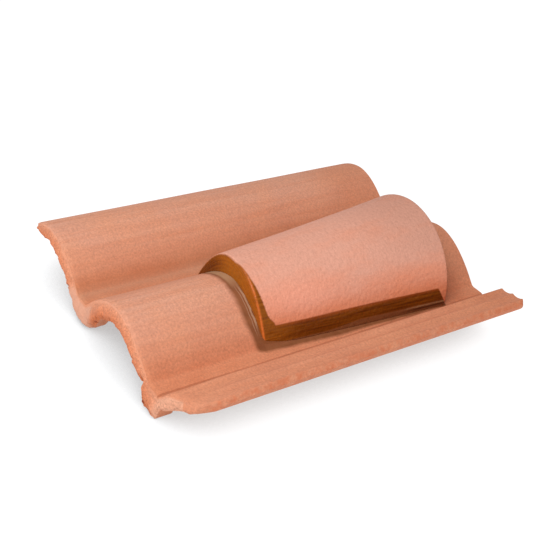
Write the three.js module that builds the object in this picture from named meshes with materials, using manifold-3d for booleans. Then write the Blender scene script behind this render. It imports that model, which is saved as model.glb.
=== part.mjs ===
// Roof vent tile: an interlocking double-roll concrete tile with a half-cone vent hood bonded over
// its second roll. The hood is low and closed at the head and tall and open at the nose, and an air
// slot under it goes through the crest of the roll.
// Modelling frame: X across the tile from the crest of roll two, Y along it from head to nose,
// Z up from the top face of the pans. The last group stands the tile on the floor.
import * as THREE from 'three';
import Module from 'manifold-3d';

// Driving dimensions, in millimetres
const TILE_LENGTH = 414;
const TILE_WALL = 14;            // thickness of rolls and pans, square to the face
const ROLL_PITCH = 150;          // half of the 300 mm cover width
const ROLL_HALF_WIDTH = 66.8;
const ROLL_RISE = 39.4;          // crest above the pan
const ROLL_POWER = 1.86;         // fullness of the roll: 2 is a parabola
const LEFT_REACH = 190;          // from the crest of roll two to the overlock edge
const OVERLOCK_WALL = 8;         // thinner lip that drops on the next tile's underlock

const PAN_TWO_END = 84.6;        // where the pan starts to climb to the underlock
const RIB_CENTRES = [106.5, 121.5, 136.5];
const RIB_TOPS = [21.6, 24.1, 27.7];
const RIB_HALF_WIDTH = 1.5;
const GROOVE_DEPTH = 2.6;
const UNDERLOCK_EDGE = 140;      // outermost point of the underlock
const UNDERLOCK_EDGE_RISE = 24.5;
const UNDERLOCK_UNDERSIDE = { inner: [116, 10.5], outer: [137.3, 13.6] };
const MITRE_START = 92;          // head corner of the underlock, cut back for the next course
const MITRE_BACK = 15;

const HEAD_BEVEL = { length: 4.5, top: 4, under: 3 };
const NOSE_BEVEL = { length: 3, top: 3, under: 2 };

const NIB_DEPTH = 10;            // below the underside of the pans
const NIB_CENTRES = [-75, 73];
const NIB_ROOT = { halfWidth: 19, length: 20 };
const NIB_TIP = { halfWidth: 16.5, length: 17 };
const NIB_CORNER = 8;            // round front corners on plan
const NIB_ROOT_SINK = 4;         // how far a nib's root is buried in the pan
const NIB_BACK_FROM_HEAD = 22;   // bearing face of the nibs from the head end
const BAR_BACK_FROM_NOSE = 30;   // inner face of the nose bars from the nose end

const SLOT_HALF_WIDTH = 26;
const SLOT_LENGTH = 120;
const SLOT_START = -12;
const SLOT_CORNER = 20;

// Hood section at each end: an arch of z = height times (1 - (x / halfWidth) ** power) ** root
const HOOD_HEAD = { y: -72, centre: -2, halfWidth: 65.2, height: 60, power: 2.3, root: 1 };
const HOOD_NOSE = { y: 152, centre: 3.5, halfWidth: 79, height: 86, power: 2, root: 0.5 };
const HOOD_WALL = 13;
const HOOD_END_WALL = 14;
const HOOD_BEVEL = 2.5;
const HOOD_GAP = 0.4;            // thin bond line between hood and tile

const ROLL_STEPS = 30;
const GROOVE_STEPS = 4;
const HOOD_STEPS = 32;
const CORNER_STEPS = 5;

const noseEnd = 210;
const headEnd = noseEnd - TILE_LENGTH;
const nibTip = -TILE_WALL - NIB_DEPTH;

const wasm = await Module();
wasm.setup();

// Values from start to end in equal steps
const spread = (start, end, steps) =>
  Array.from({ length: steps + 1 }, (_, i) => start + ((end - start) * i) / steps);

// Closed solid through outlines of equal point count. place(u, v, i) puts point (u, v) of outline i
// in space; the outlines run anticlockwise seen from the first one's free side.
function loft(outlines, place) {
  const count = outlines[0].length;
  const points = outlines.flatMap((outline, i) => outline.map(([u, v]) => place(u, v, i)));
  const cap = THREE.ShapeUtils.triangulateShape(outlines[0].map(([u, v]) => new THREE.Vector2(u, v)), []);
  const last = (outlines.length - 1) * count;
  const triangles = cap.flat();
  cap.forEach(([a, b, c]) => triangles.push(last + a, last + c, last + b));
  for (let ring = 0; ring < last; ring += count) {
    for (let i = 0; i < count; i++) {
      const a = ring + i;
      const b = ring + ((i + 1) % count);
      triangles.push(a, a + count, b + count, a, b + count, b);
    }
  }
  return new wasm.Manifold(new wasm.Mesh({
    numProp: 3,
    vertProperties: new Float32Array(points.flatMap((point) => point.toArray())),
    triVerts: new Uint32Array(triangles),
  }));
}

// Solid along Y through outlines in X and Z, one at each station
const alongY = (outlines, stations) =>
  loft(outlines, (u, v, i) => new THREE.Vector3(u, stations[i], v));

// Solid down Z through outlines in X and Y, one at each level from the top
const downZ = (outlines, levels) =>
  loft(outlines, (u, v, i) => new THREE.Vector3(u, v, levels[i]));

function meshOf(solid, name, material) {
  const { vertProperties, triVerts } = solid.getMesh();
  const geometry = new THREE.BufferGeometry();
  geometry.setAttribute('position', new THREE.BufferAttribute(vertProperties, 3));
  geometry.setIndex(new THREE.BufferAttribute(triVerts, 1));
  const mesh = new THREE.Mesh(geometry, material);
  mesh.name = name;
  return mesh;
}

// Top face of a roll at x from its crest: rise times one minus a power of the distance
const rollTop = (x) => ROLL_RISE * (1 - Math.pow(Math.abs(x) / ROLL_HALF_WIDTH, ROLL_POWER));

// Point of the underside, one wall thickness square to the top face at x from the crest
function rollUnder(x, wall) {
  const bend = (ROLL_RISE * ROLL_POWER) / ROLL_HALF_WIDTH;
  const slope = -Math.sign(x) * bend * Math.pow(Math.abs(x) / ROLL_HALF_WIDTH, ROLL_POWER - 1);
  const length = Math.hypot(1, slope);
  return [x + (slope * wall) / length, rollTop(x) - wall / length];
}

const rollTwoTop = spread(-ROLL_HALF_WIDTH, ROLL_HALF_WIDTH, ROLL_STEPS).map((x) => [x, rollTop(x)]);

// Top face from the overlock edge to the outermost point of the underlock
function tileTop() {
  const overlock = ROLL_PITCH - LEFT_REACH;
  const rollOne = spread(overlock, ROLL_HALF_WIDTH, ROLL_STEPS).map((x) => [x - ROLL_PITCH, rollTop(x)]);
  const lock = [];
  RIB_CENTRES.forEach((centre, i) => {
    lock.push([centre - RIB_HALF_WIDTH, RIB_TOPS[i]], [centre + RIB_HALF_WIDTH, RIB_TOPS[i]]);
    if (i + 1 < RIB_CENTRES.length) {
      const start = centre + RIB_HALF_WIDTH;
      const width = RIB_CENTRES[i + 1] - RIB_HALF_WIDTH - start;
      spread(0, 1, GROOVE_STEPS).slice(1, -1).forEach((t) => {
        const level = RIB_TOPS[i] + (RIB_TOPS[i + 1] - RIB_TOPS[i]) * t;
        lock.push([start + width * t, level - GROOVE_DEPTH * Math.sin(Math.PI * t)]);
      });
    }
  });
  return [...rollOne, ...rollTwoTop, [PAN_TWO_END, 0], ...lock, [UNDERLOCK_EDGE, UNDERLOCK_EDGE_RISE]];
}

// Underside from the overlock lip to the outer bottom edge of the underlock
function tileUnder() {
  const edge = ROLL_PITCH - LEFT_REACH;
  const hollow = (start) => spread(start, ROLL_HALF_WIDTH, ROLL_STEPS);
  const rollOne = hollow(edge / 2).map((x) => rollUnder(x, TILE_WALL));
  const rollTwo = hollow(-ROLL_HALF_WIDTH).map((x) => rollUnder(x, TILE_WALL));
  const [foot, footLevel] = rollTwo[ROLL_STEPS];
  const panStart = foot + (TILE_WALL + footLevel);
  const webFoot = PAN_TWO_END + TILE_WALL / 2;
  return [
    [edge - ROLL_PITCH, rollTop(edge) - OVERLOCK_WALL],
    ...rollOne.map(([x, z]) => [x - ROLL_PITCH, z]),
    [panStart - ROLL_PITCH, -TILE_WALL], [-panStart, -TILE_WALL],
    ...rollTwo,
    [panStart, -TILE_WALL], [webFoot, -TILE_WALL],
    UNDERLOCK_UNDERSIDE.inner, UNDERLOCK_UNDERSIDE.outer,
  ];
}

// Whole cross-section, with its top lowered and its underside raised where an end is bevelled
function tileSection(bevel) {
  const under = tileUnder().map(([x, z]) => [x, z + bevel.under]);
  const top = tileTop().map(([x, z]) => [x, z - bevel.top]);
  return [...under, ...top.reverse()];
}

// Nib under a pan: a flat bearing face at y = bearing, and a front with round corners that stands
// towards the nearer end of the tile (-1 for the head, 1 for the nose)
function nib(centre, bearing, towards) {
  const outline = ({ halfWidth, length }) => {
    const front = [1, -1].flatMap((side, quarter) =>
      spread((quarter * Math.PI) / 2, ((quarter + 1) * Math.PI) / 2, CORNER_STEPS).map((turn) => [
        side * (halfWidth - NIB_CORNER) + NIB_CORNER * Math.cos(turn),
        length - NIB_CORNER + NIB_CORNER * Math.sin(turn),
      ]));
    return [[halfWidth, 0], ...front, [-halfWidth, 0]]
      .map(([x, y]) => [centre + towards * x, bearing + towards * y]);
  };
  return downZ([outline(NIB_ROOT), outline(NIB_TIP)], [-TILE_WALL + NIB_ROOT_SINK, nibTip]);
}

// Air slot with round corners, cut straight down through the crest of roll two
function airSlot() {
  const corners = [[1, 1], [-1, 1], [-1, -1], [1, -1]];
  const middle = SLOT_START + SLOT_LENGTH / 2;
  const outline = corners.flatMap(([sx, sy], i) =>
    spread((i * Math.PI) / 2, ((i + 1) * Math.PI) / 2, CORNER_STEPS).map((turn) => [
      sx * (SLOT_HALF_WIDTH - SLOT_CORNER) + SLOT_CORNER * Math.cos(turn),
      middle + sy * (SLOT_LENGTH / 2 - SLOT_CORNER) + SLOT_CORNER * Math.sin(turn),
    ]));
  return downZ([outline, outline], [ROLL_RISE + TILE_WALL, 0]);
}

// Wedge that mitres the head corner of the underlock
function mitre() {
  const beyond = UNDERLOCK_EDGE + TILE_WALL;
  const back = headEnd + (MITRE_BACK * (beyond - MITRE_START)) / (UNDERLOCK_EDGE - MITRE_START);
  const ahead = headEnd - TILE_WALL;
  const side = MITRE_START - (TILE_WALL * (UNDERLOCK_EDGE - MITRE_START)) / MITRE_BACK;
  const outline = [[side, ahead], [beyond, ahead], [beyond, back]];
  return downZ([outline, outline], [ROLL_RISE, nibTip - TILE_WALL]);
}

function tile() {
  const whole = { top: 0, under: 0 };
  let solid = alongY(
    [tileSection(HEAD_BEVEL), tileSection(whole), tileSection(whole), tileSection(NOSE_BEVEL)],
    [headEnd, headEnd + HEAD_BEVEL.length, noseEnd - NOSE_BEVEL.length, noseEnd],
  );
  NIB_CENTRES.forEach((centre) => {
    solid = solid.add(nib(centre, headEnd + NIB_BACK_FROM_HEAD, -1));
    solid = solid.add(nib(centre, noseEnd - BAR_BACK_FROM_NOSE, 1));
  });
  return solid.subtract(mitre()).subtract(airSlot());
}

// Arch of the hood at y on straight skirts that reach below the pans, taken in by a wall or a bevel
function hoodArch(y, inset) {
  const t = (y - HOOD_HEAD.y) / (HOOD_NOSE.y - HOOD_HEAD.y);
  const size = (key) => THREE.MathUtils.lerp(HOOD_HEAD[key], HOOD_NOSE[key], t);
  const halfWidth = size('halfWidth') - inset;
  const height = size('height') - inset;
  const skirt = -TILE_WALL / 2;
  const arch = spread(0, Math.PI, HOOD_STEPS).map((turn) => {
    const across = Math.cos(turn);
    const rise = Math.max(0, 1 - Math.pow(Math.abs(across), size('power')));
    return [size('centre') + halfWidth * across, height * Math.pow(rise, size('root'))];
  });
  return [[size('centre') + halfWidth, skirt], ...arch, [size('centre') - halfWidth, skirt]];
}

// Half-cone shell, closed at the head, open at the nose, fitted to the top face of the tile
function hood() {
  const head = HOOD_HEAD.y;
  const nose = HOOD_NOSE.y;
  const outer = [head, head + HOOD_BEVEL, nose - HOOD_BEVEL, nose];
  const outerInset = [HOOD_BEVEL, 0, 0, HOOD_BEVEL];
  const inner = [head + HOOD_END_WALL, nose + HOOD_WALL];
  const seat = [
    [-ROLL_PITCH + ROLL_HALF_WIDTH, -2 * TILE_WALL], [PAN_TWO_END, -2 * TILE_WALL],
    [PAN_TWO_END, HOOD_GAP],
    ...rollTwoTop.map(([x, z]) => [x, z + HOOD_GAP]).reverse(),
    [-ROLL_PITCH + ROLL_HALF_WIDTH, HOOD_GAP],
  ];
  return alongY(outer.map((y, i) => hoodArch(y, outerInset[i])), outer)
    .subtract(alongY(inner.map((y) => hoodArch(y, HOOD_WALL)), inner))
    .subtract(alongY([seat, seat], [headEnd, noseEnd]));
}

const concrete = new THREE.MeshStandardMaterial({ color: 0xd08560, roughness: 0.9, metalness: 0 });
const terracotta = new THREE.MeshStandardMaterial({ color: 0xdf9680, roughness: 0.75, metalness: 0 });

const ventTile = new THREE.Group();
ventTile.add(meshOf(tile(), 'roll_tile', concrete), meshOf(hood(), 'vent_hood', terracotta));
ventTile.position.set((LEFT_REACH - UNDERLOCK_EDGE) / 2, -(headEnd + noseEnd) / 2, -nibTip);

export default ventTile;
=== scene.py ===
from math import cos, pi, radians, sin

import bpy
import numpy as np
from mathutils import Matrix, Vector


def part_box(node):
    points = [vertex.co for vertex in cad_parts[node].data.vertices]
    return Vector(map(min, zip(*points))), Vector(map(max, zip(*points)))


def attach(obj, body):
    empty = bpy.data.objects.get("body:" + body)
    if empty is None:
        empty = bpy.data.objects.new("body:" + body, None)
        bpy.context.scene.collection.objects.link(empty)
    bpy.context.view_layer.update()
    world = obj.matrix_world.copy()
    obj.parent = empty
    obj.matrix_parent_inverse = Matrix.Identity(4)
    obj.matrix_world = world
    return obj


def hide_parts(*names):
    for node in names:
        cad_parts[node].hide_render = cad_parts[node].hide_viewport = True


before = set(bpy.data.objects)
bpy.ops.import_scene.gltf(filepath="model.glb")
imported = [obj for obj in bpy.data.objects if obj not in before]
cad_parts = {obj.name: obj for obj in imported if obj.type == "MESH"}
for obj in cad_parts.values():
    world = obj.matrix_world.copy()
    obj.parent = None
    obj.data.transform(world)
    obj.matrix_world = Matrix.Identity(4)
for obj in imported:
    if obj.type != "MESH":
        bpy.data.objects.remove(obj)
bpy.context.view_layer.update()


# The roll tile: one length of orange pigmented concrete, extruded along its rolls and cut while wet.
# The mould draws the top smooth. The cut leaves a coarse granular face at the head, where two nibs
# hang down to hook over a batten, and three ribs on the right fit under the roll of the next tile.

# Sizes are in mm from a datum: x from the crest of the second roll towards the lock, y along the rolls
# from head to nose, z up from the pans.
tile_low, tile_high = (1000 * np.array(corner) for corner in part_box("roll_tile"))
LEFT_REACH, NOSE, STAND = 190, 210, 24
DATUM = np.array([tile_low[0] + LEFT_REACH, tile_high[1] - NOSE, tile_low[2] + STAND])
LOCK_REACH, HEAD = tile_high[0] - DATUM[0], tile_low[1] - DATUM[1]
ROLL_PITCH, ROLL_HALF, ROLL_RISE, ROLL_POWER = 150, 66.8, 39.4, 1.86
LOCK_FOOT, LOCK_SHELF, SHELF_SLOPE = 84.6, 103.6, 0.2
CREASE, CREASE_WIDE, CREASE_DEEP = 83.4, 1.1, 0.9
EDGE_WIDE, EDGE_SLOPE, TOP_CORNER = 3.2, 1.3, 0.8
RIB_CENTRES, RIB_HEIGHT, RIB_FLARE, RIB_TIP = (106.5, 121.5, 136.5), 2.7, 3.2, 0.8
WALL, OVERLOCK_WALL, UNDERLOCK_WALL, UNDERLOCK_TUCK = 14, 8, 11, 4.9


def soft(value, radius):
    """The larger of value and 0, its corner rounded: radius times log(1 + exp(value / radius))."""
    return radius * np.logaddexp(0, value / radius)


def ease(start, end, value):
    """0 before start and 1 after end, with 3t² - 2t³ between them."""
    t = np.clip((value - start) / (end - start), 0, 1)
    return t * t * (3 - 2 * t)


def carrier(x, hollow, proud):
    """Height of the tile without its ribs. A roll is its rise times one less |x / half width| to the
    power, cut off at the pan; the lock is a 45 degree ramp that turns into a gentle shelf. hollow and
    proud are the roundings of the two kinds of corner."""
    rolls = sum(
        soft(ROLL_RISE * (1 - np.abs((x - crest) / ROLL_HALF) ** ROLL_POWER), hollow)
        for crest in (-ROLL_PITCH, 0)
    )
    return rolls + soft(x - LOCK_FOOT, hollow) - (1 - SHELF_SLOPE) * soft(x - LOCK_SHELF, proud)


def rib_rise(x):
    """The sum of a pointed rib at each centre, which falls off as exp(-distance / flare)."""
    return sum(
        RIB_HEIGHT * np.exp((RIB_TIP - np.hypot(x - centre, RIB_TIP)) / RIB_FLARE)
        for centre in RIB_CENTRES
    )


def tile_top(x):
    """The carrier with its ribs and with the outer edge of the lock turned down. A scraper line runs
    in the crease at the lock's foot."""
    scrape = CREASE_DEEP * np.exp(-((x - CREASE) / CREASE_WIDE) ** 2)
    turned_down = EDGE_SLOPE * soft(x - LOCK_REACH + EDGE_WIDE, 0.7)
    return carrier(x, TOP_CORNER, TOP_CORNER) + rib_rise(x) - scrape - turned_down


LEFT_NIB_IN, LEFT_NIB_OUT = (-97, -79), (-64, -26)
RIGHT_NIB_IN, RIGHT_NIB_OUT = (60.5, 66), (86, 92)


def knuckles(x):
    """Share of full depth of the two nibs across the tile: the left one is a round knuckle that runs
    out under the roll, the right one is a block with steep sides."""
    left = ease(*LEFT_NIB_IN, x) * (1 - ease(*LEFT_NIB_OUT, x))
    return left + ease(*RIGHT_NIB_IN, x) * (1 - ease(*RIGHT_NIB_OUT, x))


NIB_LENGTH = 22
BAR_CENTRES, BAR_WIDE, BAR_MIDDLE, BAR_HALF = (-75, 73), 17.5, NOSE - 20, 9


def downstand(x, y):
    """1 under a nib or a nose bar and 0 elsewhere, with eased sides."""
    blocks = sum(1 - ease(BAR_WIDE - 2, BAR_WIDE + 2, np.abs(x - centre)) for centre in BAR_CENTRES)
    nib = 1 - ease(HEAD + NIB_LENGTH - 3, HEAD + NIB_LENGTH + 1, y)
    bar = 1 - ease(BAR_HALF - 1.5, BAR_HALF + 1.5, np.abs(y - BAR_MIDDLE))
    return np.maximum(knuckles(x) * nib, blocks * bar)


SAG, SAG_IN, SAG_OUT, SAG_BACK = 6, (-66, -40), (-22, 28), (HEAD + 5, HEAD + 14)


def hanging_lip(x, y):
    """How far the wet concrete sagged under the second roll at the head, in mm: most beside the left
    nib, less over the crest and nothing past the right flank or further from the cut."""
    return SAG * ease(*SAG_IN, x) * (1 - ease(*SAG_OUT, x)) * (1 - ease(*SAG_BACK, y))


SETBACK, LEAN, BULGE_AT, TUCK, TUCK_AT = 0.6, 4.6, 0.62, 2.4, 0.72
ROUND, ROUND_AT, ROUND_IN, ROUND_OUT = 8, 0.7, (-97, -88), (-54, -36)
MITRE_ACROSS = (91, 100, 108, 114, 118, 126, 132, 135, 137, LOCK_REACH)
MITRE_BACK = (0, 1, 3, 6, 8.6, 10, 13.5, 19.6, 27, 36)
ON_LOCK, LOST_CORNER = (88, 100), -172
CHIP_AT, CHIP_WIDE, CHIP_DEEP = 57, 3.5, 6
SPUR_AT, SPUR_WIDE, SPUR_PROUD = 63.5, 3, 3


def head_line(x, depth):
    """Where the head is cut: a face that leans out to a bulge at two thirds of its depth, a drawn-in
    lower edge, a quarter round under the left nib, the mitre and round corner of the underlock, the
    overlock's lost corner, and one chip with a spur beside the right nib."""
    lean = LEAN * (1 - ease(0, BULGE_AT, depth)) * (1 - 0.8 * ease(*ON_LOCK, x))
    tuck = TUCK * ease(TUCK_AT, 1, depth) * (1 - 0.5 * knuckles(x))
    below = np.clip((depth - ROUND_AT) / (1 - ROUND_AT), 0, 1)
    round_nib = ROUND * (1 - np.sqrt(1 - below ** 2))
    round_nib *= ease(*ROUND_IN, x) * (1 - ease(*ROUND_OUT, x))
    mitre = np.interp(x, MITRE_ACROSS, MITRE_BACK)
    corner = (1 + 5 * depth) * ease(LOST_CORNER, -LEFT_REACH, x)
    chip = CHIP_DEEP * np.exp(-((x - CHIP_AT) / CHIP_WIDE) ** 2)
    chip -= SPUR_PROUD * np.exp(-((x - SPUR_AT) / SPUR_WIDE) ** 2)
    chip *= ease(0.3, 0.75, depth)
    return HEAD + SETBACK + lean + tuck + round_nib + mitre + corner + chip


BEVEL_ABOVE, BEVEL_BELOW, TIP_CHIP, TIP_START = 0.8, 2, 2.5, 134


def nose_line(x, depth):
    """Where the nose is cut: a small bevel above and below, and a chip off the tip of the lock."""
    bevel = BEVEL_ABOVE * (1 - ease(0, 0.15, depth)) + BEVEL_BELOW * ease(0.85, 1, depth)
    chip = TIP_CHIP * ease(TIP_START, LOCK_REACH, x) * (1 - ease(0, 0.8, depth))
    return NOSE - bevel - chip


WORN_EDGE, WORN_BACK, DROOP, DROOP_BACK = 1.1, 3.5, 0.6, 9
RIB_LOSS, RIB_RUN_OUT = 0.9, (2, 55)


def worn(x, from_head):
    """How far the top is worn down at the head: a rounded arris, more of it on the lock, where the
    ribs also run out towards their mitred end."""
    rounded = WORN_EDGE * (1 - ease(0, WORN_BACK, from_head))
    droop = DROOP * ease(*ON_LOCK, x) * (1 - ease(0, DROOP_BACK, from_head))
    return rounded + droop + RIB_LOSS * rib_rise(x) * (1 - ease(*RIB_RUN_OUT, from_head))


# Columns of points are spread by the length of the section's line, closer in the crease and on the ribs.
COLUMNS, DEPTHS, FINE_STEPS, CREASE_CLOSER, RIBS_CLOSER = 304, 17, 6000, 2.5, 0.8
fine = np.linspace(-LEFT_REACH, LOCK_REACH, FINE_STEPS)
step = np.hypot(np.diff(fine), np.diff(tile_top(fine)))
closer = CREASE_CLOSER * np.exp(-((fine[1:] - CREASE) / 3) ** 2) + RIBS_CLOSER * ease(100, 106, fine[1:])
step *= 1 + closer
girth = np.concatenate([[0], np.cumsum(step)])
section_x = np.interp(np.linspace(0, girth[-1], COLUMNS), girth, fine)
section_z = tile_top(section_x)

# The underside is the carrier with softer corners, moved in by the wall. The wall thins to the lip of the
# overlock and along the underlock, whose edge is tucked in below.
OVERLOCK_TAPER, UNDERLOCK_TAPER, TUCKED_FROM = 25, (122, 138), 112
UNDER_HOLLOW, UNDER_PROUD = 4, 6
core = carrier(section_x, UNDER_HOLLOW, UNDER_PROUD)
tilt = np.arctan(np.gradient(core, section_x))
wall = (
    WALL
    - (WALL - OVERLOCK_WALL) * (1 - ease(-LEFT_REACH, OVERLOCK_TAPER - LEFT_REACH, section_x))
    - (WALL - UNDERLOCK_WALL) * ease(*UNDERLOCK_TAPER, section_x)
)
under_x = section_x + wall * np.sin(tilt) - UNDERLOCK_TUCK * ease(TUCKED_FROM, LOCK_REACH, section_x)
under_z = core - wall * np.cos(tilt)

# Rows of points along the tile, closer over the nibs and the bars.
HEAD_STEP, NOSE_STEP, MIDDLE_ROWS = 1.1, 1.7, 86
stations = np.concatenate([
    np.arange(HEAD, HEAD + 32, HEAD_STEP),
    np.linspace(HEAD + 33, NOSE - 36, MIDDLE_ROWS),
    np.arange(NOSE - 34, NOSE + 0.1, NOSE_STEP),
])
stations = (stations - HEAD) / (stations[-1] - HEAD)


def tile_points(column, depth, along, end):
    """Points of the block: column runs across the section, depth from the top (0) to the underside (1)
    and along from the head (0) to the nose (1). Kept with each point are its depth and its end."""
    column, depth, along = np.broadcast_arrays(column, depth, along)
    across = section_x[column] + (under_x - section_x)[column] * depth
    cut = head_line(across, depth)
    y = cut * (1 - along) + nose_line(across, depth) * along
    foot = downstand(under_x[column], y)
    sole = under_z[column] * (1 - foot) - STAND * foot - hanging_lip(under_x[column], y) * (1 - foot)
    crown = section_z[column] - worn(across, y - cut)
    z = crown + (sole - crown) * depth
    return np.stack([across, y, z, depth, np.full(depth.shape, float(end))], axis=-1)


def welded(*sheets):
    """Joins grids of points into one mesh: each grid gives its quads, turned over where it says so, and
    points in the same place are welded. Returns the mesh's points and its faces."""
    points, faces, first = [], [], 0
    for grid, turned in sheets:
        index = first + np.arange(grid.shape[0] * grid.shape[1]).reshape(grid.shape[:2])
        quad = np.stack([index[:-1, :-1], index[1:, :-1], index[1:, 1:], index[:-1, 1:]], axis=-1)
        faces.append(quad.reshape(-1, 4)[:, ::-1] if turned else quad.reshape(-1, 4))
        points.append(grid.reshape(-1, grid.shape[2]))
        first += index.size
    points, faces = np.concatenate(points), np.concatenate(faces)
    _, keep, weld = np.unique(
        np.round(points[:, :3], 4), axis=0, return_index=True, return_inverse=True
    )
    return points[keep], weld.reshape(-1)[faces]


def mark_points(mesh, **marks):
    """Keeps a number for each point of the mesh, for its material to read."""
    for mark, values in marks.items():
        mesh.attributes.new(mark, "FLOAT", "POINT").data.foreach_set("value", values.astype(np.float32))


SHARP = radians(48)


def mesh_object(name, points, faces, **marks):
    """A Blender object of points in mm from the datum, with marks kept on its points."""
    mesh = bpy.data.meshes.new(name)
    mesh.vertices.add(len(points))
    mesh.vertices.foreach_set("co", ((points[:, :3] + DATUM) / 1000).astype(np.float32).ravel())
    mesh.loops.add(faces.size)
    mesh.loops.foreach_set("vertex_index", faces.astype(np.int32).ravel())
    mesh.polygons.add(len(faces))
    mesh.polygons.foreach_set("loop_start", np.arange(0, faces.size, faces.shape[1], dtype=np.int32))
    mesh.update(calc_edges=True)
    mark_points(mesh, **marks)
    mesh.shade_smooth()
    mesh.set_sharp_from_angle(angle=SHARP)
    piece = bpy.data.objects.new(name, mesh)
    bpy.context.scene.collection.objects.link(piece)
    return piece


def lumps(points, size, seed):
    """Value noise from -1 to 1: a height at each corner of a lattice of cells of that size in mm, from
    an integer hash of the corner and the seed, eased between the corners."""
    cell = points[:, :3] / np.asarray(size, float)
    base = np.floor(cell).astype(np.int64)
    t = cell - base
    t = t * t * (3 - 2 * t)
    total = np.zeros(len(points))
    for corner in np.ndindex(2, 2, 2):
        key = (base + corner) @ np.array([73856093, 19349663, 83492791]) + seed * 97531
        key = ((key ^ (key >> 13)) * 1274126177) & 0xFFFFFFFF
        key = ((key ^ (key >> 15)) * 2246822519) & 0xFFFFFFFF
        total += np.prod(np.where(corner, t, 1 - t), axis=1) * ((key >> 8) % 4096 / 2047.5 - 1)
    return total


across, down = np.arange(COLUMNS), np.linspace(0, 1, DEPTHS)
points, faces = welded(
    (tile_points(across[:, None], down, 0, 1), True),
    (tile_points(across[:, None], down, 1, 0), False),
    (tile_points(across[:, None], 0, stations, 0), False),
    (tile_points(across[:, None], 1, stations, 0), True),
    (tile_points(0, down[:, None], stations, 0), True),
    (tile_points(COLUMNS - 1, down[:, None], stations, 0), False),
)

# The cut face is torn into two sizes of lump, with pits in its lower half up to the right nib, and is
# smoother on the lock. The drawn top waves a little along the draw.
COARSE, COARSE_DEEP, SMALL, SMALL_DEEP, PIT, PIT_DEEP = 8, 1.1, 3.2, 0.9, 3.6, 2.4
WAVE, WAVE_HIGH, DRAW_LINE, DRAW_HIGH = (45, 90, 45), 0.35, (7, 130, 7), 0.10
SMOOTH_LOCK, PITS_END, CUT_END = (92, 98), (70, 80), (116.5, 119.5)
depth, end = points[:, 3], points[:, 4]
torn = end * ease(0.04, 0.2, depth) * (1 - 0.85 * ease(*SMOOTH_LOCK, points[:, 0]))
pits = ease(0.3, 0.7, lumps(points, PIT, 11)) * ease(0.45, 0.9, depth)
pits *= 1 - ease(*PITS_END, points[:, 0])
crumbs = COARSE_DEEP * lumps(points, COARSE, 3) + SMALL_DEEP * lumps(points, SMALL, 4)
points[:, 1] += torn * (crumbs + PIT_DEEP * pits)
drawn = np.where(depth < 0.01, 1.0, 0.0) * (1 - end)
points[:, 2] += drawn * (WAVE_HIGH * lumps(points, WAVE, 5) + DRAW_HIGH * lumps(points, DRAW_LINE, 6))
rough_cut = end * (1 - ease(*CUT_END, points[:, 0]))
tile = mesh_object(
    "roll_tile_concrete", points, faces, cut=rough_cut * (0.04 + 0.96 * depth), pits=torn * pits
)


def cut_out(piece, outline, low, high):
    """Cuts a straight-sided hole through the piece: the outline, in mm on plan, from low to high."""
    count = len(outline)
    ring = np.arange(count)
    prism = bpy.data.meshes.new("cutter")
    corners = np.concatenate([np.c_[outline, np.full(count, z)] for z in (low, high)])
    walls = np.stack([ring, np.roll(ring, -1), np.roll(ring, -1) + count, ring + count], axis=1)
    prism.from_pydata(
        ((corners + DATUM) / 1000).tolist(), [],
        [ring[::-1].tolist(), (ring + count).tolist(), *walls.tolist()],
    )
    cutter = bpy.data.objects.new("cutter", prism)
    bpy.context.scene.collection.objects.link(cutter)
    modifier = piece.modifiers.new("hole", "BOOLEAN")
    modifier.object, modifier.solver = cutter, "EXACT"
    bpy.context.view_layer.update()
    done = bpy.data.meshes.new_from_object(piece.evaluated_get(bpy.context.evaluated_depsgraph_get()))
    piece.modifiers.clear()
    piece.data = done
    bpy.data.objects.remove(cutter)


# The air slot under the hood: a round-cornered hole through the crest of the second roll.
SLOT_HALF, SLOT_START, SLOT_END, SLOT_CORNER = 26, -12, 108, 20
SLOT_LOW, SLOT_HIGH, SLOT_SIDES = 2, 60, 64
turn = np.linspace(0, 2 * pi, SLOT_SIDES, endpoint=False)
slot_half = (SLOT_END - SLOT_START) / 2
slot_x = np.sign(np.cos(turn)) * (SLOT_HALF - SLOT_CORNER) + SLOT_CORNER * np.cos(turn)
slot_y = np.sign(np.sin(turn)) * (slot_half - SLOT_CORNER) + SLOT_CORNER * np.sin(turn)
cut_out(tile, np.c_[slot_x, slot_y + SLOT_START + slot_half], SLOT_LOW, SLOT_HIGH)
tile.data.name = "roll_tile_concrete"

# Places on the tile for its material to find: where the sealer was wiped, the first pan, and the parts
# of the cut face that look different.
HOOD_SEAT, SEALED_WALL = ((-65, -72), (61.5, -72), (82, 152), (-75, 152)), 10


def beside_hood(x, y):
    """Distance in mm on plan from the wall of the hood, whose seat is a trapezium, and 0 under the wall.
    It is stretched where less sealer came out: beside the far half, at both corners of the closed end,
    past the open mouth and inside."""
    (head_left, head_y), (head_right, _), (nose_right, nose_y), (nose_left, _) = HOOD_SEAT
    t = (np.clip(y, head_y, nose_y) - head_y) / (nose_y - head_y)
    right = x - head_right - (nose_right - head_right) * t
    left = head_left + (nose_left - head_left) * t - x
    aside = np.maximum(np.maximum(right, left), 0)
    aside *= 1 + 0.55 * ease(10, 60, y) + 0.55 * ease(75, 95, y) + 4 * ease(105, 150, y)
    before = np.maximum(np.maximum(head_y - y, 4 * (y - nose_y)), 0)
    inside = np.minimum(np.minimum(-right, -left), y - head_y) - SEALED_WALL
    wiped = 1 + 0.3 * ease(44, 60, x) + 2 * ease(-35, -60, x)
    return np.hypot(aside, before) * wiped + 4 * np.maximum(inside, 0)


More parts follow.
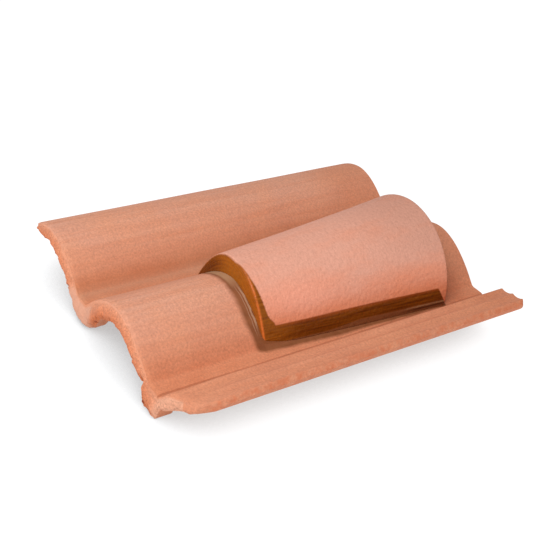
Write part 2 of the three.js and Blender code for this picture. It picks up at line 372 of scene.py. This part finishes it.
place = np.empty(len(tile.data.vertices) * 3, np.float32)
tile.data.vertices.foreach_get("co", place)
x, y, z = (place.reshape(-1, 3) * 1000 - DATUM).T
FAR_AWAY, VALLEY, VALLEY_WIDE = 40, -84, 12.5
on_top = ease(-4, -1.5, z - tile_top(x))
left_nib = ease(-104, -92, x) * ease(-42, -56, x) * ease(10, 0, z)
before_hood = ease(-60, -66, y)
mark_points(
    tile.data,
    beside_hood=beside_hood(x, y) + FAR_AWAY * (1 - on_top),
    # Where the pale lines of painted highlight lie along the bead in front of the hood's closed end.
    beaded=before_hood * ease(4, 18, x) * ease(60, 50, x),
    dusted=0.95 * before_hood * ease(18, -10, x),
    joint=ease(46, 54, x) * ease(20, -20, y),
    upper=on_top,
    # Silt in the first pan, with painted shade at the foot of the first roll's flank.
    valley=on_top * np.exp(-((x - VALLEY) / VALLEY_WIDE) ** 2),
    smoothed=0.75 * left_nib,
    limed=0.8 * ease(74, 88, x),
)


def linear(code):
    """An sRGB hex colour as linear red, green, blue and alpha."""
    value = np.array([int(code[i:i + 2], 16) / 255 for i in (1, 3, 5)])
    value = np.where(value <= 0.04045, value / 12.92, ((value + 0.055) / 1.055) ** 2.4)
    return (*value.tolist(), 1.0)


def add(tree, kind, links=None, **settings):
    """Adds a shader node, sets its properties, and sets or links its inputs."""
    node = tree.nodes.new("ShaderNode" + kind)
    for name, value in settings.items():
        setattr(node, name, value)
    for socket, source in (links or {}).items():
        if isinstance(source, bpy.types.NodeSocket):
            tree.links.new(source, node.inputs[socket])
        else:
            node.inputs[socket].default_value = source
    return node


# Extruded pigmented concrete: a matte, slightly floury orange skin with a fine sand grain, faint
# streaks along the draw, paler crests that are partly a lime bloom and partly painted sheen, less of that
# on the lock and towards the nose, where painted shade stands for the hood's shadow, and more colour in
# the pans. Sand grains are about 0.4 mm, too fine to show, so they are drawn at 2.2 mm.
concrete = bpy.data.materials.new("extruded_pigmented_concrete")
concrete.use_nodes = True
tree = concrete.node_tree
tree.nodes.clear()
where = add(tree, "TexCoord").outputs["Object"]
TILE_MARKS = (
    "valley", "upper", "cut", "limed", "pits", "smoothed", "beside_hood", "dusted", "beaded", "joint",
)
mark = {name: add(tree, "Attribute", attribute_name=name).outputs["Fac"] for name in TILE_MARKS}
GRAIN, BLOTCH, STREAK_WIDE, STREAK_LONG = 2.2, 42, 6, 170
grain = add(tree, "TexNoise", {
    "Vector": where, "Scale": 1000 / GRAIN, "Detail": 3.0, "Roughness": 0.65,
})
blotch = add(tree, "TexNoise", {
    "Vector": where, "Scale": 1000 / BLOTCH, "Detail": 5.0, "Roughness": 0.55,
})
drawn_out = add(tree, "Mapping", {
    "Vector": where, "Scale": (1000 / STREAK_WIDE, 1000 / STREAK_LONG, 1000 / STREAK_WIDE),
})
streak = add(tree, "TexNoise", {"Vector": drawn_out.outputs[0], "Scale": 1.0, "Detail": 3.0})
at = add(tree, "SeparateXYZ", {"Vector": where})
PAN_Z, CREST_Z = (DATUM[2] + 3) / 1000, (DATUM[2] + ROLL_RISE) / 1000
# Paler towards the crests: partly a lime bloom, partly painted sheen of the light on the tops.
bloom = add(tree, "MapRange", {"Value": at.outputs["Z"], "From Min": PAN_Z, "From Max": CREST_Z})
# Painted shade: the crests lose their paleness towards the nose, where the hood shades the roll.
RAIN_START, RAIN_END = (DATUM[1] + 120) / 1000, (DATUM[1] + 165) / 1000
rained = add(tree, "MapRange", {
    "Value": at.outputs["Y"], "From Min": RAIN_START, "From Max": RAIN_END, "To Min": 1.0, "To Max": 0.4,
})
bloom = add(tree, "Math", {0: bloom.outputs[0], 1: rained.outputs[0]}, operation="MULTIPLY")
LOCK_START, LOCK_FULL = (DATUM[0] + 100) / 1000, (DATUM[0] + 106) / 1000
covered = add(tree, "MapRange", {
    "Value": at.outputs["X"], "From Min": LOCK_START, "From Max": LOCK_FULL, "To Min": 1.0, "To Max": 0.5,
})
bloom = add(tree, "Math", {0: bloom.outputs[0], 1: covered.outputs[0]}, operation="MULTIPLY")
body = add(tree, "MixRGB", {
    "Fac": bloom.outputs[0], "Color1": linear("#C87B57"), "Color2": linear("#D2967C"),
})
pale = add(tree, "MapRange", {
    "Value": blotch.outputs["Fac"], "From Min": 0.36, "From Max": 0.68, "To Max": 0.5,
})
body = add(tree, "MixRGB", {
    "Fac": pale.outputs[0], "Color1": body.outputs[0], "Color2": linear("#DA9470"),
})
lined = add(tree, "MapRange", {
    "Value": streak.outputs["Fac"], "From Min": 0.35, "From Max": 0.75, "To Max": 0.35,
})
body = add(tree, "MixRGB", {
    "Fac": lined.outputs[0], "Color1": body.outputs[0], "Color2": linear("#C4734C"),
})
sand = add(tree, "MapRange", {
    "Value": grain.outputs["Fac"], "From Min": 0.25, "From Max": 0.75, "To Min": 0.8, "To Max": 1.22,
})
body = add(tree, "MixRGB", {
    "Fac": 1.0, "Color1": body.outputs[0], "Color2": sand.outputs[0],
}, blend_type="MULTIPLY")

# Dirt sits in the first pan, greyer in the middle; at the foot of the roll the pan is darker and more
# orange, painted shade where the roll shades it. The crease at the foot of the lock is darkened with dirt
# and painted shade. The lock's outer edge is redder and speckled.
SILT_SHARE, CREASE_REACH = 0.4, 0.0016
# Silt and painted shade: greyer in the middle of the pan, darker and more orange at the roll's foot.
silt = add(tree, "Math", {0: mark["valley"], 1: SILT_SHARE}, operation="MULTIPLY")
FLANK_X, PAN_X = (DATUM[0] - 90) / 1000, (DATUM[0] - 82) / 1000
on_pan = add(tree, "MapRange", {"Value": at.outputs["X"], "From Min": FLANK_X, "From Max": PAN_X})
silted = add(tree, "MixRGB", {
    "Fac": on_pan.outputs[0], "Color1": linear("#A76238"), "Color2": linear("#AF886E"),
})
body = add(tree, "MixRGB", {
    "Fac": silt.outputs[0], "Color1": body.outputs[0], "Color2": silted.outputs[0],
})
# The crease at the foot of the lock is darkened with dirt and painted shade.
crease_x = (DATUM[0] + CREASE) / 1000
in_crease = add(tree, "Math", {0: at.outputs["X"], 1: crease_x, 2: CREASE_REACH}, operation="COMPARE")
patchy = add(tree, "MapRange", {
    "Value": streak.outputs["Fac"], "From Min": 0.3, "From Max": 0.6, "To Min": 0.15, "To Max": 0.5,
})
dirt = add(tree, "Math", {0: in_crease.outputs[0], 1: patchy.outputs[0]}, operation="MULTIPLY")
dirt = add(tree, "Math", {0: dirt.outputs[0], 1: mark["upper"]}, operation="MULTIPLY")
body = add(tree, "MixRGB", {
    "Fac": dirt.outputs[0], "Color1": body.outputs[0], "Color2": linear("#8A4A2C"),
})
EDGE_START, EDGE_FULL, SPECKLE = (DATUM[0] + 134) / 1000, (DATUM[0] + 138) / 1000, 7
speckle = add(tree, "TexNoise", {
    "Vector": where, "Scale": 1000 / SPECKLE, "Detail": 4.0, "Roughness": 0.7,
})
on_edge = add(tree, "MapRange", {
    "Value": at.outputs["X"], "From Min": EDGE_START, "From Max": EDGE_FULL,
})
spots = add(tree, "MapRange", {
    "Value": speckle.outputs["Fac"], "From Min": 0.4, "From Max": 0.62, "To Max": 0.55,
})
spots = add(tree, "Math", {0: spots.outputs[0], 1: on_edge.outputs[0]}, operation="MULTIPLY")
body = add(tree, "MixRGB", {
    "Fac": spots.outputs[0], "Color1": body.outputs[0], "Color2": linear("#C56238"),
})

# The cut face: broken orange grains with a few pits along its lower edge, darkened with painted shade.
# Lime has come out on the end of the lock, and the edge above the face and the left nib were smoothed by
# hand: they are paler, and on the edge the paleness is a painted highlight.
CRUMB = 2.4
crumb = add(tree, "TexNoise", {"Vector": where, "Scale": 1000 / CRUMB, "Detail": 4.0, "Roughness": 0.7})
lower = add(tree, "MapRange", {"Value": mark["cut"], "From Min": 0.2, "From Max": 0.8})
face = add(tree, "MixRGB", {
    "Fac": lower.outputs[0], "Color1": linear("#D48C6A"), "Color2": linear("#C86C3E"),
})
face = add(tree, "MixRGB", {
    "Fac": mark["limed"], "Color1": face.outputs[0], "Color2": linear("#E0A283"),
})
crumbled = add(tree, "MapRange", {
    "Value": crumb.outputs["Fac"], "From Min": 0.3, "From Max": 0.7, "To Min": 0.72, "To Max": 1.26,
})
face = add(tree, "MixRGB", {
    "Fac": 1.0, "Color1": face.outputs[0], "Color2": crumbled.outputs[0],
}, blend_type="MULTIPLY")
# Painted shade darkens the pits.
pit_dark = add(tree, "MapRange", {"Value": mark["pits"], "From Min": 0.15, "From Max": 0.8, "To Max": 0.7})
face = add(tree, "MixRGB", {
    "Fac": pit_dark.outputs[0], "Color1": face.outputs[0], "Color2": linear("#8E4024"),
})
face = add(tree, "MixRGB", {
    "Fac": mark["smoothed"], "Color1": face.outputs[0], "Color2": linear("#D8A086"),
})
# A painted highlight along the rounded edge above the cut face.
on_bevel = add(tree, "MapRange", {"Value": mark["cut"], "From Min": 0.02, "From Max": 0.06, "To Max": 0.3})
body = add(tree, "MixRGB", {
    "Fac": on_bevel.outputs[0], "Color1": body.outputs[0], "Color2": linear("#DE9A78"),
})
on_face = add(tree, "MapRange", {"Value": mark["cut"], "From Min": 0.1, "From Max": 0.2})
body = add(tree, "MixRGB", {
    "Fac": on_face.outputs[0], "Color1": body.outputs[0], "Color2": face.outputs[0],
})

# Sealer squeezed out beside the hood and wiped off, which leaves a thin film: brown, dusty where it was
# wiped over the crest, with a bead and a smear along the hood's closed end, each drawn as a pale line of
# painted highlight. It fills the joint.
WIPE, FILM_END, FILM_FULL = 11, 15.5, 9.5
ragged = add(tree, "TexNoise", {"Vector": where, "Scale": 1000 / WIPE, "Detail": 3.0, "Roughness": 0.5})
wander = add(tree, "Math", {0: ragged.outputs["Fac"], 1: 2.6, 2: -1.3}, operation="MULTIPLY_ADD")
wiped = add(tree, "Math", {0: mark["beside_hood"], 1: wander.outputs[0]}, operation="ADD").outputs[0]
film = add(tree, "MapRange", {
    "Value": wiped, "From Min": FILM_END, "From Max": FILM_FULL, "To Max": 0.94,
})
thick = add(tree, "MapRange", {"Value": ragged.outputs["Fac"], "From Min": 0.35, "From Max": 0.65})
tint = add(tree, "MixRGB", {
    "Fac": thick.outputs[0], "Color1": linear("#79411A"), "Color2": linear("#874E28"),
})
well_inside = add(tree, "MapRange", {"Value": wiped, "From Min": 10.0, "From Max": 7.0})
dusty = add(tree, "Math", {0: mark["dusted"], 1: well_inside.outputs[0]}, operation="MULTIPLY")
tint = add(tree, "MixRGB", {
    "Fac": dusty.outputs[0], "Color1": tint.outputs[0], "Color2": linear("#AE845F"),
})
# The two pale lines are painted highlights of the wet bead and the smear.
BEAD = dict(middle=2.2, half=0.75, share=0.6)
SMEAR = dict(middle=5.2, half=0.45, share=0.4)
for line in (BEAD, SMEAR):
    bead = add(tree, "Math", {0: wiped, 1: line["middle"], 2: line["half"]}, operation="COMPARE")
    bead = add(tree, "Math", {0: bead.outputs[0], 1: mark["beaded"]}, operation="MULTIPLY")
    bead = add(tree, "Math", {0: bead.outputs[0], 1: line["share"]}, operation="MULTIPLY")
    tint = add(tree, "MixRGB", {
        "Fac": bead.outputs[0], "Color1": tint.outputs[0], "Color2": linear("#BD9A7C"),
    })
filled = add(tree, "MapRange", {"Value": mark["beside_hood"], "From Min": 3.2, "From Max": 2.2})
filled = add(tree, "Math", {0: filled.outputs[0], 1: mark["joint"]}, operation="MULTIPLY")
tint = add(tree, "MixRGB", {
    "Fac": filled.outputs[0], "Color1": tint.outputs[0], "Color2": linear("#7A4216"),
})
body = add(tree, "MixRGB", {
    "Fac": film.outputs[0], "Color1": body.outputs[0], "Color2": tint.outputs[0],
})
rough = add(tree, "MapRange", {
    "Value": grain.outputs["Fac"], "From Min": 0.2, "From Max": 0.8, "To Min": 0.72, "To Max": 0.92,
})
relief = add(tree, "Bump", {"Height": grain.outputs["Fac"], "Strength": 0.3, "Distance": 0.0008})
relief = add(tree, "Bump", {
    "Height": crumb.outputs["Fac"], "Strength": on_face.outputs[0], "Distance": 0.0014,
    "Normal": relief.outputs[0],
})
surface = add(tree, "BsdfPrincipled", {
    "Base Color": body.outputs[0], "Roughness": rough.outputs[0], "Normal": relief.outputs[0],
    "IOR": 1.45,
})
add(tree, "OutputMaterial", {"Surface": surface.outputs[0]})
tile.data.materials.clear()
tile.data.materials.append(concrete)
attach(tile, "root")
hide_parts("roll_tile")


# The vent hood: a half cone of paler fired clay, thrown thick and bedded on the roll over the slot.
# Its low end is closed and its tall end is open towards the nose. A brown sealer was brushed over the
# closed end and along both feet, and it stayed glossy.

HOOD_START, HOOD_END, HOOD_WALL, END_WALL = -72, 152, 13, 14
START_ARCH = dict(centre=-2, half=66.6, height=60, power=2.3, root=1)
END_ARCH = dict(centre=3.5, half=79, height=86, power=2, root=0.5)
BED, FOOT, ARRIS, RIM, FOOT_STEPS = 0.4, 0.5, 2.6, 2.0, 1500


def arch(angle, y, inset):
    """A point of the arch at that angle from upright: across is half width times sin(angle), and high is
    height times (1 - |sin(angle)| to the power) to the root. All of these go evenly from the closed end
    to the mouth, and inset makes the arch that much smaller all round."""
    t = (y - HOOD_START) / (HOOD_END - HOOD_START)
    form = {key: START_ARCH[key] + (END_ARCH[key] - START_ARCH[key]) * t for key in START_ARCH}
    swing = np.sin(angle)
    high = (1 - np.abs(swing) ** form["power"]).clip(0) ** form["root"]
    return form["centre"] + (form["half"] - inset) * swing, (form["height"] - inset) * high


def feet(y, inset, above):
    """The two angles at which the arch comes down to that height above the tile, for each y: on a
    straight line between the last step that is clear of the tile and the next."""
    angle = np.linspace(0, pi / 2, FOOT_STEPS)
    found = []
    for side in (-1, 1):
        x, z = arch(side * angle, y[:, None], inset[:, None])
        clear = z - tile_top(x) - above
        last = (clear > 0).cumprod(axis=1).sum(axis=1) - 1
        row = np.arange(len(y))
        a, b = clear[row, last], clear[row, np.minimum(last + 1, len(angle) - 1)]
        found.append(side * (angle[last] + a / np.where(a == b, 1, a - b) * angle[1]))
    return found


# Rows along the hood: a rounded arris, the closed end's wall, the open shell and a rounded rim.
END_ROWS, BODY_ROWS, BEND_ROWS = 12, 90, 6
bend = np.linspace(0, pi / 2, BEND_ROWS)
hood_y = np.concatenate([
    HOOD_START + ARRIS * (1 - np.cos(bend)),
    np.linspace(HOOD_START + ARRIS, HOOD_START + END_WALL - 0.5, END_ROWS)[1:],
    np.linspace(HOOD_START + END_WALL, HOOD_END - RIM, BODY_ROWS)[:-1],
    HOOD_END - RIM * (1 - np.cos(bend[::-1])),
])
inset = np.concatenate([
    ARRIS * (1 - np.sin(bend)), np.zeros(END_ROWS + BODY_ROWS - 2), RIM * (1 - np.sin(bend[::-1])),
])
ARCH_COLUMNS, LEDGE, LAYERS = 220, 8, 12
sweep = np.linspace(0, 1, ARCH_COLUMNS)
left_foot, right_foot = feet(hood_y, inset, BED + FOOT)
angle = left_foot[:, None] + (right_foot - left_foot)[:, None] * sweep
outer_x, outer_z = arch(angle, hood_y[:, None], inset[:, None])
outside = np.stack([outer_x, np.broadcast_to(hood_y[:, None], outer_x.shape), outer_z], axis=-1)

# The inside follows the tile under the closed end's wall and the smaller arch after it, with a ledge of
# the shell's thickness under each foot.
hollow = hood_y[:, None] >= HOOD_START + END_WALL - 0.1
inner_left, inner_right = feet(hood_y, np.full(len(hood_y), float(HOOD_WALL)), BED)
inner_sweep = np.linspace(0, 1, ARCH_COLUMNS - 2 * LEDGE)
angle = inner_left[:, None] + (inner_right - inner_left)[:, None] * inner_sweep
inner_x, inner_z = arch(angle, hood_y[:, None], HOOD_WALL)
inner_z = np.where(hollow, inner_z, tile_top(inner_x) + BED)
ledge = np.linspace(0, 1, LEDGE, endpoint=False)
left_ledge = outer_x[:, :1] + (inner_x[:, :1] - outer_x[:, :1]) * ledge
right_ledge = outer_x[:, -1:] + (inner_x[:, -1:] - outer_x[:, -1:]) * ledge[::-1]
inside_x = np.concatenate([left_ledge, inner_x, right_ledge], axis=1)
inside_z = np.concatenate([tile_top(left_ledge) + BED, inner_z, tile_top(right_ledge) + BED], axis=1)
inside = np.stack([inside_x, outside[:, :, 1], inside_z], axis=-1)


def hood_points(row, column, depth):
    """Points between the outside (0) and the inside (1), with the depth kept as a fourth value."""
    row, column, depth = np.broadcast_arrays(row, column, depth)
    point = outside[row, column] + (inside - outside)[row, column] * depth[..., None]
    return np.concatenate([point, depth[..., None]], axis=-1)


rows, columns = np.arange(len(hood_y)), np.arange(ARCH_COLUMNS)
layers = np.linspace(0, 1, LAYERS)
points, faces = welded(
    (hood_points(rows[:, None], columns, 0.0), True),
    (hood_points(rows[:, None], columns, 1.0), False),
    (hood_points(0, columns[:, None], layers), True),
    (hood_points(len(hood_y) - 1, columns[:, None], layers), False),
    (hood_points(rows[:, None], 0, layers), False),
    (hood_points(rows[:, None], ARCH_COLUMNS - 1, layers), True),
)
x, y, z, depth = points.T.copy()
end_face = y < HOOD_START + 0.01
hidden = (depth > 0.95) & ~end_face

# The brushed edge of the sealer, as a signed distance in mm: it comes a little way over the arris,
# further at the foot, and covers the foot up to a line that rises slowly and stops short of the rim.
STRIP_LOW, STRIP_HIGH, STRIP_FROM, STRIP_TO = 17.6, 22.2, -57, 116
STRIP_END, STRIP_LEAN, STRIP_CORNER = 140.5, 0.6, 21.4
WRAP_ACROSS = (-20, -2, 6, 22, 31, 46, 51, 53.6, 55.5)
WRAP_OVER = (1, 0.5, 1.6, 2.9, 4.9, 8, 9.5, 12, 15)
FILM_ALONG, FILM_HIGH = (-72, 0, 17, 41, 150), (1.6, 2.2, 3.6, 6.8, 7.5)
strip_top = STRIP_LOW + (STRIP_HIGH - STRIP_LOW) * (y - STRIP_FROM) / (STRIP_TO - STRIP_FROM)
strip_end = STRIP_END + STRIP_LEAN * (STRIP_CORNER - z)
wrap = np.interp(x, WRAP_ACROSS, WRAP_OVER)
sealer_edge = np.minimum(np.maximum(z - strip_top, y - strip_end), y - HOOD_START - wrap)
sealer_edge = np.where(end_face, -20.0, np.where(hidden, 20.0, sealer_edge))
film_edge = np.where(end_face, 20.0, z - np.interp(y, FILM_ALONG, FILM_HIGH))

# Where the sealer is thin, rubbed or stained, and where the clay is warmer; where a painted highlight
# brightens it and painted shade darkens it. The clay also waves a little where no sealer covers it.
CLAY_WAVE, CLAY_WAVE_HIGH, SEALED_HEIGHT = (38, 60, 38), 0.45, 14
far = ease(90, 118, y)
# The closed end's arris, where the sealer is rubbed thin to orange and a painted highlight lies.
arris = np.exp(-((y - HOOD_START - 1.3) / 1.0) ** 2) * (0.25 + 0.75 * ease(0, 26, x))
thin = np.where(end_face, 0.22 + 0.75 * ease(-45, -8, x), 0.2 + 0.35 * ease(-20, -62, y))
stain = np.where(end_face | hidden, 0.0, 0.75 * ease(-4.5, 0.5, z - strip_top) * ease(-66, -30, y))
# Painted shade: the top of the clay darkens towards the mouth.
shade = 1 - 0.14 * ease(30, 150, y) * ease(42, 70, z)
warm = 0.6 * ease(36, 18, z) + 0.2 * ease(50, 130, y) * ease(56, 46, z + 0.12 * (y - 110))
# A painted highlight halfway up the sides near the closed end.
glow = np.exp(-((y + 25) / 38) ** 2 - ((z - 38) / 13) ** 2)
bare = ~hidden & ~end_face & (z > SEALED_HEIGHT)
points[:, 2] += np.where(bare, CLAY_WAVE_HIGH * lumps(points, CLAY_WAVE, 21), 0.0)
hood = mesh_object(
    "vent_hood_clay", points, faces,
    sealer_edge=sealer_edge, film_edge=film_edge, thin=thin, stain=stain,
    warm=warm, glow=glow, shade=shade,
    across_brush=np.where(end_face, -40 - 30 * depth, z - strip_top),
    along_brush=np.where(end_face, x, y),
    arris=np.where(hidden, 0.0, arris),
    # A pale line of painted highlight and a dark line of painted shadow along the foot near the mouth.
    ridge=far * np.exp(-((film_edge + 0.9) / 0.8) ** 2),
    gap=far * np.exp(-((film_edge + 3.6) / 1.0) ** 2),
)

# Fired clay with brushed sealer: smooth, chalky pink clay, paler on top, partly bloom and partly painted
# sheen, and more orange low down, with soft clouds from the kiln. A painted highlight lies halfway up the
# sides near the closed end, and painted shade darkens the top towards the mouth. The sealer is a dark
# brown lacquer, glossy, with brush lines along its length, caramel where it is thin and rubbed to orange
# on the arris, where it also carries a painted highlight. Near the mouth a painted highlight and a painted
# shadow line run along the foot. Fine grit in the clay and single bristle lines are too fine to show, so
# both are drawn at 2.2 mm.
clay = bpy.data.materials.new("fired_clay_with_brushed_sealer")
clay.use_nodes = True
tree = clay.node_tree
tree.nodes.clear()
where = add(tree, "TexCoord").outputs["Object"]
HOOD_MARKS = (
    "sealer_edge", "film_edge", "thin", "stain", "warm", "glow", "shade", "across_brush", "along_brush",
    "arris", "ridge", "gap",
)
mark = {name: add(tree, "Attribute", attribute_name=name).outputs["Fac"] for name in HOOD_MARKS}
CLOUD_WIDE, CLOUD_LONG, SPECK, PEEL, BRUSH_WIDE, BRUSH_LONG = 22, 60, 2.2, 4.5, 2.2, 70
swept = add(tree, "Mapping", {
    "Vector": where, "Scale": (1000 / CLOUD_WIDE, 1000 / CLOUD_LONG, 1000 / CLOUD_WIDE),
})
cloud = add(tree, "TexNoise", {
    "Vector": swept.outputs[0], "Scale": 1.0, "Detail": 4.0, "Roughness": 0.6,
})
speck = add(tree, "TexNoise", {
    "Vector": where, "Scale": 1000 / SPECK, "Detail": 3.0, "Roughness": 0.6,
})
peel = add(tree, "TexNoise", {"Vector": where, "Scale": 1000 / PEEL, "Detail": 2.0})
at = add(tree, "SeparateXYZ", {"Vector": where})
FOOT_Z, TOP_Z = (DATUM[2] + 18) / 1000, (DATUM[2] + 62) / 1000
# Paler towards the top: partly bloom, partly painted sheen.
height = add(tree, "MapRange", {"Value": at.outputs["Z"], "From Min": FOOT_Z, "From Max": TOP_Z})
cloudy = add(tree, "Math", {0: cloud.outputs["Fac"], 1: 1.6, 2: -0.8}, operation="MULTIPLY_ADD")
chalk = add(tree, "Math", {
    0: height.outputs[0], 1: cloudy.outputs[0],
}, operation="ADD", use_clamp=True)
pink = add(tree, "MixRGB", {
    "Fac": chalk.outputs[0], "Color1": linear("#DE8C6C"), "Color2": linear("#D89C86"),
})
# A warmer tone low down, and the painted highlight near the closed end.
for name, tone in (("warm", "#D67E56"), ("glow", "#E69C82")):
    pink = add(tree, "MixRGB", {
        "Fac": mark[name], "Color1": pink.outputs[0], "Color2": linear(tone),
    })
pink = add(tree, "MixRGB", {
    "Fac": 1.0, "Color1": pink.outputs[0], "Color2": mark["shade"],
}, blend_type="MULTIPLY")
mottle = add(tree, "MapRange", {
    "Value": speck.outputs["Fac"], "From Min": 0.25, "From Max": 0.75, "To Min": 0.9, "To Max": 1.1,
})
pink = add(tree, "MixRGB", {
    "Fac": 1.0, "Color1": pink.outputs[0], "Color2": mottle.outputs[0],
}, blend_type="MULTIPLY")
stroke = add(tree, "CombineXYZ", {"X": mark["across_brush"], "Y": mark["along_brush"]})
brushed = add(tree, "Mapping", {
    "Vector": stroke.outputs[0], "Scale": (1 / BRUSH_WIDE, 1 / BRUSH_LONG, 1.0),
})
brush = add(tree, "TexNoise", {
    "Vector": brushed.outputs[0], "Scale": 1.0, "Detail": 3.0, "Roughness": 0.6,
})
brush_line = add(tree, "MapRange", {
    "Value": brush.outputs["Fac"], "From Min": 0.3, "From Max": 0.7, "To Min": -0.3, "To Max": 0.35,
})
thinned = add(tree, "Math", {
    0: mark["thin"], 1: brush_line.outputs[0],
}, operation="ADD", use_clamp=True)
lacquer = add(tree, "MixRGB", {
    "Fac": thinned.outputs[0], "Color1": linear("#5C2602"), "Color2": linear("#A05A12"),
})
# Rubbed to orange on the arris, partly a painted highlight of the glossy rounded edge.
rubbed = add(tree, "MapRange", {
    "Value": cloud.outputs["Fac"], "From Min": 0.35, "From Max": 0.6, "To Min": 0.35, "To Max": 1.0,
})
rubbed = add(tree, "Math", {0: mark["arris"], 1: rubbed.outputs[0]}, operation="MULTIPLY")
lacquer = add(tree, "MixRGB", {
    "Fac": rubbed.outputs[0], "Color1": lacquer.outputs[0], "Color2": linear("#D06A2C"),
})
filmed = add(tree, "MapRange", {
    "Value": mark["film_edge"], "From Min": 0.6, "From Max": -0.6, "To Max": 0.9,
})
# The last two tones are a painted highlight and a painted shadow along the foot near the mouth.
for share, tone in (
    (mark["stain"], "#9E4A1A"), (filmed.outputs[0], "#845030"),
    (mark["ridge"], "#A37B58"), (mark["gap"], "#4A2108"),
):
    lacquer = add(tree, "MixRGB", {
        "Fac": share, "Color1": lacquer.outputs[0], "Color2": linear(tone),
    })
wobble = add(tree, "Math", {0: brush.outputs["Fac"], 1: 1.6, 2: -0.8}, operation="MULTIPLY_ADD")
margin = add(tree, "Math", {0: mark["sealer_edge"], 1: wobble.outputs[0]}, operation="ADD").outputs[0]
sealed = add(tree, "MapRange", {"Value": margin, "From Min": 0.7, "From Max": -0.7}).outputs[0]
colour = add(tree, "MixRGB", {"Fac": sealed, "Color1": pink.outputs[0], "Color2": lacquer.outputs[0]})
rough = add(tree, "MapRange", {"Value": sealed, "To Min": 0.8, "To Max": 0.3})
relief = add(tree, "Bump", {"Height": peel.outputs["Fac"], "Strength": 0.8, "Distance": 0.0014})
relief = add(tree, "Bump", {
    "Height": speck.outputs["Fac"], "Strength": 0.25, "Distance": 0.0006, "Normal": relief.outputs[0],
})
surface = add(tree, "BsdfPrincipled", {
    "Base Color": colour.outputs[0], "Roughness": rough.outputs[0], "Normal": relief.outputs[0],
    "IOR": 1.36, "Specular IOR Level": 0.3,
})
add(tree, "OutputMaterial", {"Surface": surface.outputs[0]})
hood.data.materials.append(clay)
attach(hood, "root")
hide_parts("vent_hood")


# The studio: a sheet of white acrylic, lit from below and swept up all round, in a white tent, with one
# large soft lamp on the camera's side. The sheet glows brighter than the tile, so no cast shadows show on
# it. Its contact shadows are painted shadows: its glow dims where an occlusion reading finds the tile
# near.
# That reading looks towards the tent's far right side, so that the painted shadows lie to the near left.

FLOOR_HALF, SWEEP_START, SWEEP_HEIGHT, RULED_LINES = 12.0, 5.0, 2.5, 61
ruled = np.linspace(-FLOOR_HALF, FLOOR_HALF, RULED_LINES)
sheet_x, sheet_y = np.meshgrid(ruled, ruled, indexing="ij")
swept_up = SWEEP_HEIGHT * ease(SWEEP_START, FLOOR_HALF, np.hypot(sheet_x, sheet_y))
points, faces = welded((np.stack([sheet_x, sheet_y, swept_up], axis=-1), False))
sheet = bpy.data.meshes.new("floor_acrylic")
sheet.from_pydata(points.tolist(), [], faces.tolist())
sheet.shade_smooth()
floor = bpy.data.objects.new("floor_acrylic", sheet)
bpy.context.scene.collection.objects.link(floor)
acrylic = bpy.data.materials.new("lit_white_acrylic")
acrylic.use_nodes = True
tree = acrylic.node_tree
tree.nodes.clear()
SHADOW_REACH, SHADOW_CURVE, GLOW = 0.1, 0.55, 0.97
far_side = add(tree, "CombineXYZ", {"X": 0.3, "Y": 0.36, "Z": 0.88})
shadow = add(tree, "AmbientOcclusion", {
    "Distance": SHADOW_REACH, "Normal": far_side.outputs[0],
}, samples=8)
# Painted shadow: the glow dims where the occlusion reading finds the tile near.
lit = add(tree, "MapRange", {"Value": shadow.outputs["AO"], "From Min": 0.06, "From Max": 0.66})
lit = add(tree, "Math", {0: lit.outputs[0], 1: SHADOW_CURVE}, operation="POWER")
lit = add(tree, "Math", {0: lit.outputs[0], 1: GLOW}, operation="MULTIPLY")
surface = add(tree, "BsdfPrincipled", {
    "Base Color": linear("#5A6064"), "Roughness": 0.8,
    "Emission Color": linear("#FFFFFF"), "Emission Strength": lit.outputs[0],
})
add(tree, "OutputMaterial", {"Surface": surface.outputs[0]})
sheet.materials.append(acrylic)

TENT_STRENGTH = 0.43
tent = bpy.data.worlds.new("white_tent")
tent.use_nodes = True
tent.node_tree.nodes["Background"].inputs["Color"].default_value = linear("#FFFFFF")
tent.node_tree.nodes["Background"].inputs["Strength"].default_value = TENT_STRENGTH
bpy.context.scene.world = tent
bpy.context.scene.view_settings.view_transform = "Standard"


def soft_lamp(name, position, target, size, power):
    """A square lamp of that size in metres that faces the target."""
    lamp = bpy.data.lights.new(name, "AREA")
    lamp.shape, lamp.size, lamp.energy = "SQUARE", size, power
    holder = bpy.data.objects.new(name, lamp)
    aim = (Vector(target) - Vector(position)).to_track_quat("-Z", "Y")
    holder.matrix_world = Matrix.Translation(position) @ aim.to_matrix().to_4x4()
    bpy.context.scene.collection.objects.link(holder)


KEY_PLACE, KEY_TARGET, KEY_SIZE, KEY_POWER = (0.3, -0.8, 1.15), (0, 0, 0.03), 0.8, 15
soft_lamp("key_lamp", KEY_PLACE, KEY_TARGET, KEY_SIZE, KEY_POWER)


# The camera: the photograph's viewing angle, from the head end and to the right, with the frame
# turned a little. The picture is 560 pixels square.

AZIMUTH, ELEVATION, ROLL = radians(50.48), radians(33.36), radians(9.65)
AIM, DISTANCE = np.array([-27.7, 9.38, 0.0]), 1048.76
FOCAL_PIXELS, PICTURE, SENSOR = 972.99, 560, 36
back = np.array([sin(AZIMUTH) * cos(ELEVATION), -cos(AZIMUTH) * cos(ELEVATION), sin(ELEVATION)])
level = np.array([cos(AZIMUTH), sin(AZIMUTH), 0.0])
rise = np.cross(back, level)
side = level * cos(ROLL) + rise * sin(ROLL)
top = rise * cos(ROLL) - level * sin(ROLL)
stand = (AIM + back * DISTANCE + DATUM) / 1000
lens = bpy.data.cameras.new("camera")
lens.sensor_fit, lens.sensor_width, lens.lens = "HORIZONTAL", SENSOR, FOCAL_PIXELS / PICTURE * SENSOR
camera = bpy.data.objects.new("camera", lens)
camera.matrix_world = Matrix([
    (side[0], top[0], back[0], stand[0]),
    (side[1], top[1], back[1], stand[1]),
    (side[2], top[2], back[2], stand[2]),
    (0, 0, 0, 1),
])
bpy.context.scene.collection.objects.link(camera)
bpy.context.scene.camera = camera
